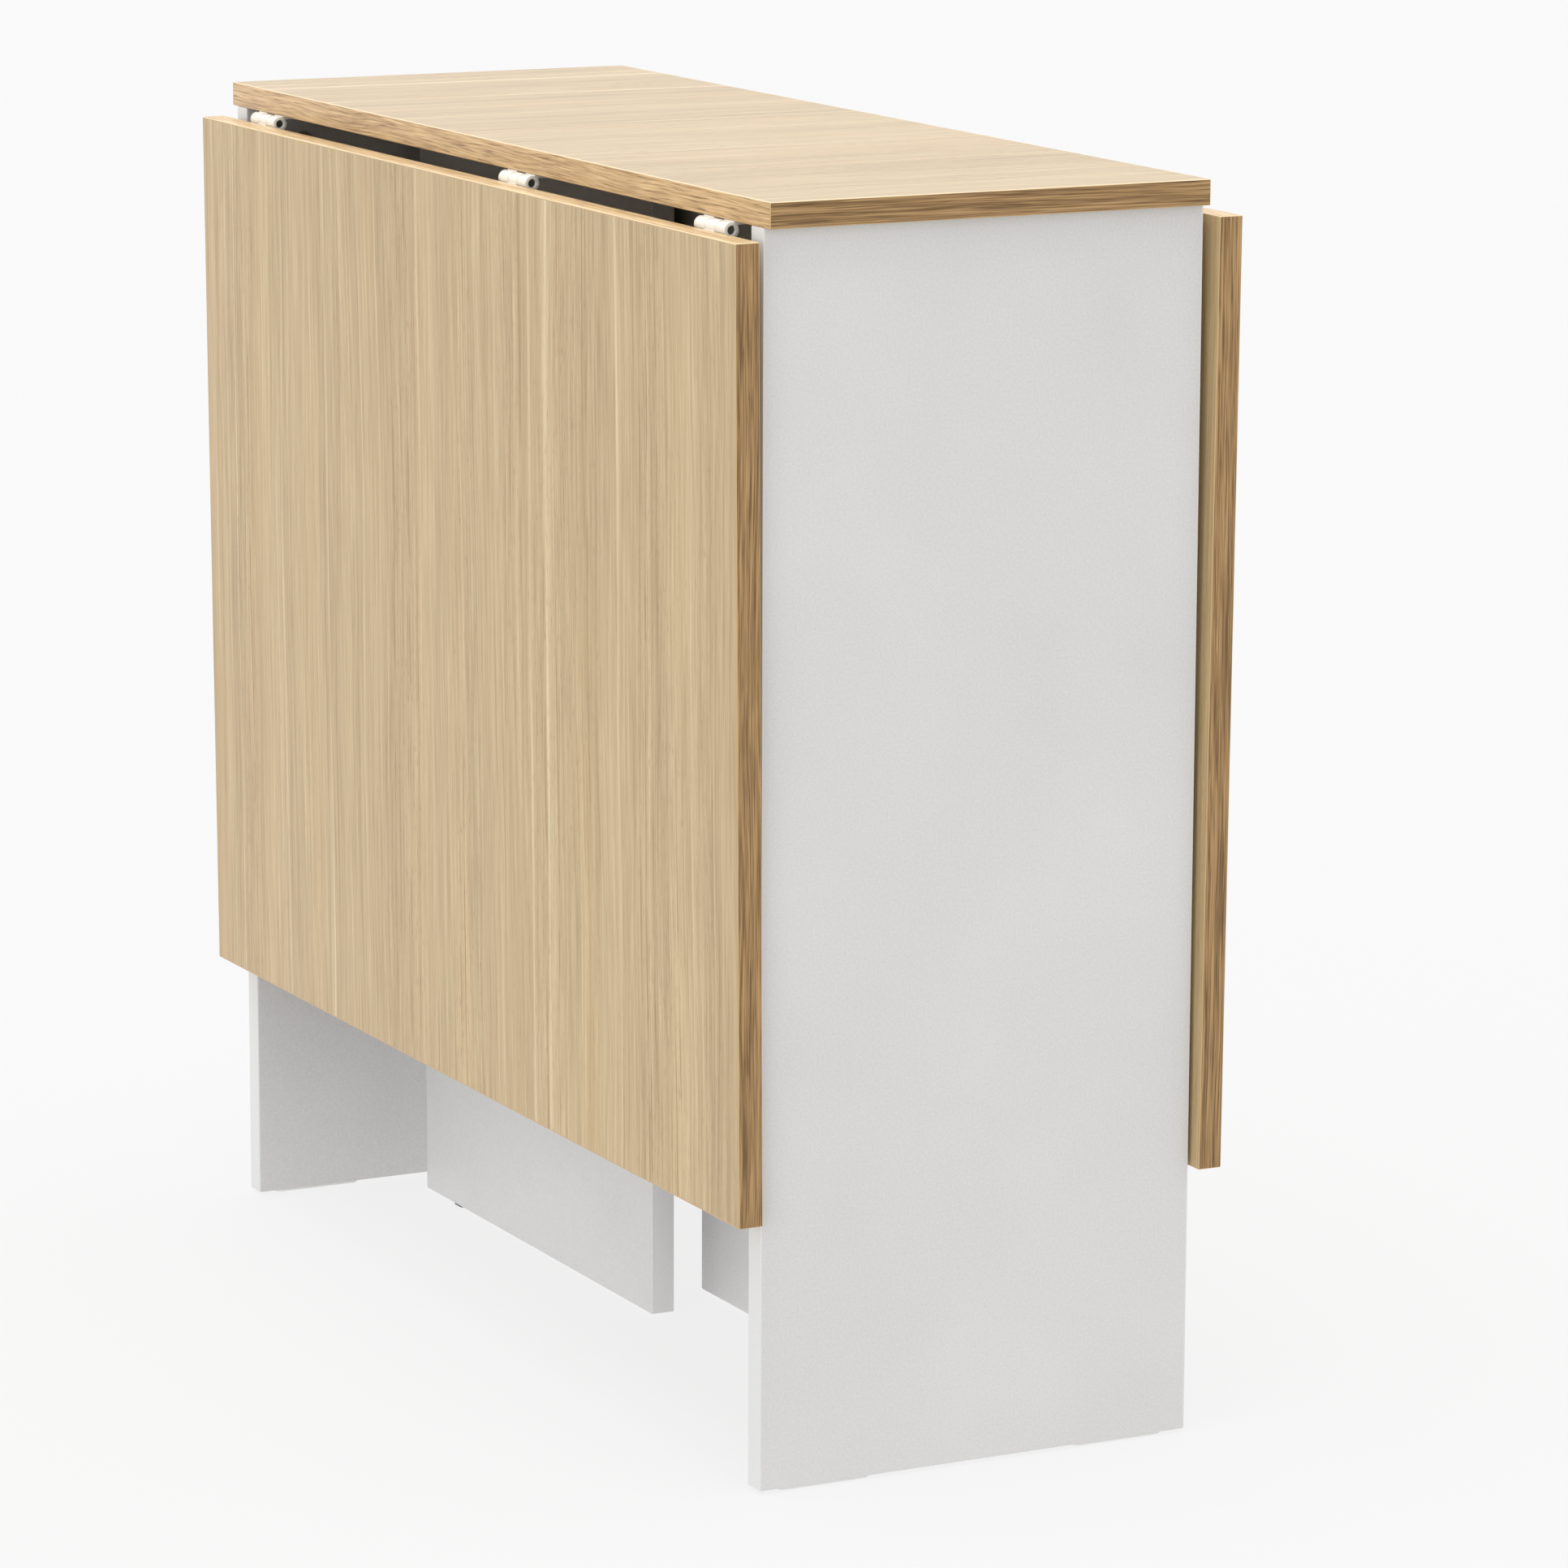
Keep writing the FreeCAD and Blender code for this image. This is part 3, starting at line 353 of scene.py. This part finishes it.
def bare_metal(name, low, high, roughness, lines_per_metre):
    """Plated steel or zinc: fine lines and small dull patches."""
    recipe = Recipe(name)
    lines = recipe.noise(recipe.stretch(lines_per_metre))
    patches = recipe.even_noise(per_metre=160, detail=3)
    colour = recipe.mix(recipe.spread(patches, NOISE_LOW, NOISE_HIGH), low, high)
    dullest = roughness + 0.12
    dullness = recipe.spread(patches, NOISE_LOW, NOISE_HIGH, to_low=roughness, to_high=dullest)
    normal = recipe.bump(lines, distance=0.02 * MM, strength=0.5)
    return recipe.finish(colour, dullness, normal, Metallic=1.0)


def beech(name, along, across):
    """Raw beech: faint streaks and short darker flecks."""
    recipe = Recipe(name)
    grain = Grain(recipe, along, across, shift=(0, 0, 0), waver=1, run=80)
    streaks = grain.streaks(length=90, width=1.6, detail=3)
    flecks = grain.streaks(length=4, width=0.7, detail=1)
    flecks = recipe.spread(flecks, 0.6, 0.7, to_low=0, to_high=0.5)
    tint = recipe.spread(streaks, NOISE_LOW, NOISE_HIGH)
    colour = recipe.mix(tint, shade(198, 156, 112), shade(214, 178, 136))
    colour = recipe.mix(flecks, colour, shade(168, 122, 82))
    normal = recipe.bump(streaks, distance=0.05 * MM, strength=0.5)
    return recipe.finish(colour, roughness=0.55, normal=normal)


def moulded_plastic(name, low, high):
    """Plastic with the fine texture of its mould."""
    recipe = Recipe(name)
    texture = recipe.even_noise(per_metre=1100)
    colour = recipe.mix(recipe.spread(texture, NOISE_LOW, NOISE_HIGH), low, high)
    normal = recipe.bump(texture, distance=0.04 * MM, strength=0.6)
    return recipe.finish(colour, roughness=0.5, normal=normal)


def band_side(faces, along, across, streak_length, dark, light, dash):
    """What the bands of one side look like: the axis they face in, their grain and their tones."""
    return {
        "faces": faces,
        "along": along,
        "across": across,
        "streak_length": streak_length,
        "tones": {"dark": dark, "light": light, "dash": dash},
    }


# Each side of a band gets its own tones: the ends, which face along Y, are darker than the long sides.
END_TONES = {"dark": shade(108, 77, 34), "light": shade(179, 143, 94), "dash": shade(86, 59, 24)}

TOP_LONG_SIDE = band_side(
    "X", "Y", "Z", 60, dark=shade(172, 136, 88), light=shade(224, 190, 140), dash=shade(118, 86, 46))
TOP_END = band_side("Y", "X", "Z", 80, **END_TONES)
LEAF_LONG_SIDE = band_side(
    "Z", "Y", "X", 60, dark=shade(190, 157, 110), light=shade(238, 210, 165), dash=shade(150, 116, 72))
LEAF_END = band_side("Y", "Z", "X", 80, **END_TONES)

LEAF_THREADS = 0.9
TOP_THREADS = 1.3

# The shifts give each piece another stretch of the same patterns.
finishes = {
    "centre_top": oak_laminate("oak_of_top", "X", "Y", (0.3, 0.7, 0.1), TOP_THREADS),
    "left_leaf": oak_laminate("oak_of_left_leaf", "Z", "Y", (2.3, 5.1, 0.4), LEAF_THREADS),
    "right_leaf": oak_laminate("oak_of_right_leaf", "Z", "Y", (7.9, 1.6, 3.2), LEAF_THREADS),
    "centre_top_edging": oak_band("band_of_top", TOP_LONG_SIDE, TOP_END, (0.9, 0.2, 0.4)),
    "left_leaf_edging": oak_band("band_of_left_leaf", LEAF_LONG_SIDE, LEAF_END, (3.1, 4.4, 8.0)),
    "right_leaf_edging": oak_band("band_of_right_leaf", LEAF_LONG_SIDE, LEAF_END, (6.2, 2.7, 5.5)),
}
# The gates get a lighter copy of the boards' white melamine: painted light, standing in for more light
# falling on them under the leaves.
for gate in ("left_gate", "right_gate"):
    finishes[gate] = melamine(
        "white_melamine_of_" + gate, shade(209, 208, 208), shade(221, 220, 220), roughness=0.42)

slot_finishes = {
    "white_melamine": melamine(
        "white_melamine_board", shade(202, 201, 200), shade(214, 213, 212), roughness=0.42),
    "white_edge_band": melamine(
        "white_band", shade(215, 215, 214), shade(221, 221, 220), roughness=0.35),
    "white_lacquered_steel": lacquered_steel("white_lacquer"),
    "pin_steel": bare_metal(
        "dull_pin_steel", shade(96, 94, 92), shade(120, 118, 115),
        roughness=0.4, lines_per_metre=[300, 3000, 300]),
    "screw_steel": bare_metal(
        "zinc_plated_screw", shade(168, 170, 172), shade(196, 197, 198),
        roughness=0.28, lines_per_metre=[400, 400, 400]),
    "zinc_alloy": bare_metal(
        "cast_zinc", shade(150, 150, 150), shade(176, 176, 176),
        roughness=0.42, lines_per_metre=[500, 500, 500]),
    "beech": beech("beech_wood", "X", "Y"),
    "white_plastic": moulded_plastic(
        "white_moulded_plastic", shade(222, 222, 220), shade(230, 230, 228)),
    "dark_plastic": moulded_plastic("dark_moulded_plastic", shade(46, 46, 47), shade(58, 58, 59)),
}


# ---------------------------------------------------------------- pieces

WELD = 0.001 * MM
FLAT = math.radians(0.6)
SHARP = math.radians(30)
SMOOTH_PROFILE = 0.5


def loose_form(node_name):
    """The CAD node as a bmesh in which no two faces share a point."""
    form = bmesh.new()
    form.from_mesh(nodes[node_name].data)
    bmesh.ops.split_edges(form, edges=form.edges)
    return form


def join_faces(form, faces):
    """Joins faces that touch into a closed shell, and makes one face of those in one plane."""
    points = list(dict.fromkeys(point for face in faces for point in face.verts))
    bmesh.ops.remove_doubles(form, verts=points, dist=WELD)
    points = [point for point in points if point.is_valid]
    edges = list(dict.fromkeys(edge for point in points for edge in point.link_edges))
    bmesh.ops.dissolve_limit(form, angle_limit=FLAT, verts=points, edges=edges)


def sharp_edges(form):
    return [edge for edge in form.edges if len(edge.link_faces) == 2 and edge.calc_face_angle() > SHARP]


def round_off(form, edges, width, segments):
    bmesh.ops.bevel(form, geom=edges, offset=width, offset_type="OFFSET", segments=segments,
                    profile=SMOOTH_PROFILE, affect="EDGES", clamp_overlap=True)


def add_piece(form, node_name, ending, smooth_below=None):
    """Makes a piece of a bmesh, in the place of the CAD node that it was made from.

    Edges of less than smooth_below degrees are shaded smooth.
    """
    mesh = bpy.data.meshes.new(node_name + ending)
    form.to_mesh(mesh)
    form.free()
    if smooth_below is not None:
        mesh.shade_smooth()
        mesh.set_sharp_from_angle(angle=math.radians(smooth_below))
    piece = bpy.data.objects.new(node_name + ending, mesh)
    bpy.context.scene.collection.objects.link(piece)
    slot_name = nodes[node_name].data.materials[0].name
    mesh.materials.append(finishes.get(node_name) or slot_finishes[slot_name])
    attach(piece, nodes[node_name]["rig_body"])
    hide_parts(node_name)
    return piece


def eased(node_name, width, segments, smooth_below=None):
    """The CAD shape with every sharp edge eased by a small round."""
    form = loose_form(node_name)
    join_faces(form, form.faces)
    round_off(form, sharp_edges(form), width, segments)
    return add_piece(form, node_name, "_eased", smooth_below)


# Half the thickness of an edge band.
BAND_MIDDLE = 0.5 * MM
ARRIS_SEGMENTS = 4
# The least part of the normal along the board's thin axis on a face that is level with the board's.
ACROSS_BOARD = 0.9


def side_beyond(point, low, high, flat):
    """The side of a board's core on which a point lies, as an axis and a sign."""
    for axis in range(3):
        if axis != flat and not low[axis] < point[axis] < high[axis]:
            return axis, 1 if point[axis] > high[axis] else -1
    return None


def milled_bands(board_name, arris):
    """A board's edge bands, with a milled round along every edge that is free."""
    node_name = board_name + "_edging"
    form = loose_form(node_name)
    low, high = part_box(board_name)
    least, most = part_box(node_name)
    flat = min(range(3), key=lambda axis: high[axis] - low[axis])
    strips = {}
    for face in form.faces:
        inside = face.calc_center_median() - face.normal * BAND_MIDDLE
        strips.setdefault(side_beyond(inside, low, high, flat), []).append(face)
    for faces in strips.values():
        join_faces(form, faces)

    def is_free(face):
        ahead = face.calc_center_median() + face.normal * BAND_MIDDLE
        is_board_face = abs(face.normal[flat]) > ACROSS_BOARD
        return is_board_face or side_beyond(ahead, least, most, flat) is not None

    free_edges = [edge for edge in form.edges if all(is_free(face) for face in edge.link_faces)]
    round_off(form, free_edges, arris, ARRIS_SEGMENTS)
    return add_piece(form, node_name, "_milled", smooth_below=50)


OAK_BOARDS = ("centre_top", "left_leaf", "right_leaf")
WHITE_BOARDS = ("near_end_panel", "far_end_panel", "spine_panel", "left_gate", "right_gate")

for board in OAK_BOARDS:
    milled_bands(board, arris=0.6 * MM)
for board in WHITE_BOARDS:
    eased(board, width=0.1 * MM, segments=1)
    milled_bands(board, arris=0.5 * MM)

for name in list(nodes):
    if name.endswith("_wing"):
        eased(name, width=0.15 * MM, segments=2, smooth_below=35)
    elif name.endswith("_rest_block"):
        eased(name, width=0.6 * MM, segments=2)
    elif name.endswith(("_glide", "_glides")):
        eased(name, width=0.3 * MM, segments=2, smooth_below=35)

for name, node in nodes.items():
    if not node.hide_render:
        slot_name = node.data.materials[0].name
        node.data.materials[0] = finishes.get(name) or slot_finishes[slot_name]


# ---------------------------------------------------------------- floor, light and camera

# All brightness is linear. The open floor is about as bright as the backdrop, mostly by a glow of
# its own, so that the table's shadow on it stays faint.
BACKGROUND = 0.95
KEY = 0.55
FILL = 0.165
FLOOR_DIFFUSE = 0.09
FLOOR_MOTTLE = 0.005
FLOOR_HALF = 60.0
FLOOR_DROP = 0.5 * MM

floor_mesh = bpy.data.meshes.new("floor")
corners = [(-FLOOR_HALF, -FLOOR_HALF), (FLOOR_HALF, -FLOOR_HALF),
           (FLOOR_HALF, FLOOR_HALF), (-FLOOR_HALF, FLOOR_HALF)]
floor_mesh.from_pydata([(x, y, -FLOOR_DROP) for x, y in corners], [], [(0, 1, 2, 3)])
floor = bpy.data.objects.new("floor", floor_mesh)
bpy.context.scene.collection.objects.link(floor)

paper = Recipe("pale_floor")
mottle = paper.even_noise(per_metre=3)
pale_low, pale_high = [(FLOOR_DIFFUSE * (1 + sign * FLOOR_MOTTLE),) * 3 + (1,) for sign in (-1, 1)]
floor_glow = BACKGROUND - FLOOR_DIFFUSE * (BACKGROUND + KEY)
floor_mesh.materials.append(paper.finish(
    paper.mix(mottle, pale_low, pale_high), roughness=1.0,
    Emission_Color=(1, 1, 1, 1), Emission_Strength=floor_glow, Specular_IOR_Level=0))

world = bpy.data.worlds.new("studio")
world.use_nodes = True
backdrop = world.node_tree.nodes["Background"]
backdrop.inputs["Color"].default_value = (BACKGROUND, BACKGROUND, BACKGROUND, 1)
backdrop.inputs["Strength"].default_value = 1
bpy.context.scene.world = world


def softbox(name, towards, brightness, softness):
    """A far soft light in the direction `towards`, as wide as the softness in degrees.

    Its brightness is what it adds on a white face that looks at it, on the backdrop's scale.
    """
    lamp = bpy.data.lights.new(name, "SUN")
    lamp.energy = brightness * math.pi
    lamp.angle = math.radians(softness)
    holder = bpy.data.objects.new(name, lamp)
    holder.rotation_euler = Vector(towards).to_track_quat("Z", "Y").to_euler()
    bpy.context.scene.collection.objects.link(holder)
    return holder


softbox("overhead_softbox", towards=(-0.1, 0, 1), brightness=KEY, softness=50)
softbox("low_fill", towards=(-0.85, -0.55, 0.12), brightness=FILL, softness=35)

# The place is in metres, the angles are in degrees, the lens and its sensor in millimetres.
CAMERA_PLACE = (-1.7900, -3.6332, 1.1497)
CAMERA_HEADING = 27.067
CAMERA_DROP = 11.398
CAMERA_ROLL = 0.214
LENS = 153.15
SENSOR_WIDTH = 36

camera_data = bpy.data.cameras.new("camera")
camera_data.sensor_width = SENSOR_WIDTH
camera_data.lens = LENS
camera = bpy.data.objects.new("camera", camera_data)
camera.location = CAMERA_PLACE
camera.rotation_mode = "XYZ"
camera.rotation_euler = (math.radians(90 - CAMERA_DROP), 0, math.radians(-CAMERA_HEADING))
camera.rotation_euler.rotate_axis("Z", math.radians(CAMERA_ROLL))
bpy.context.scene.collection.objects.link(camera)
bpy.context.scene.camera = camera
bpy.context.scene.view_settings.view_transform = "Standard"
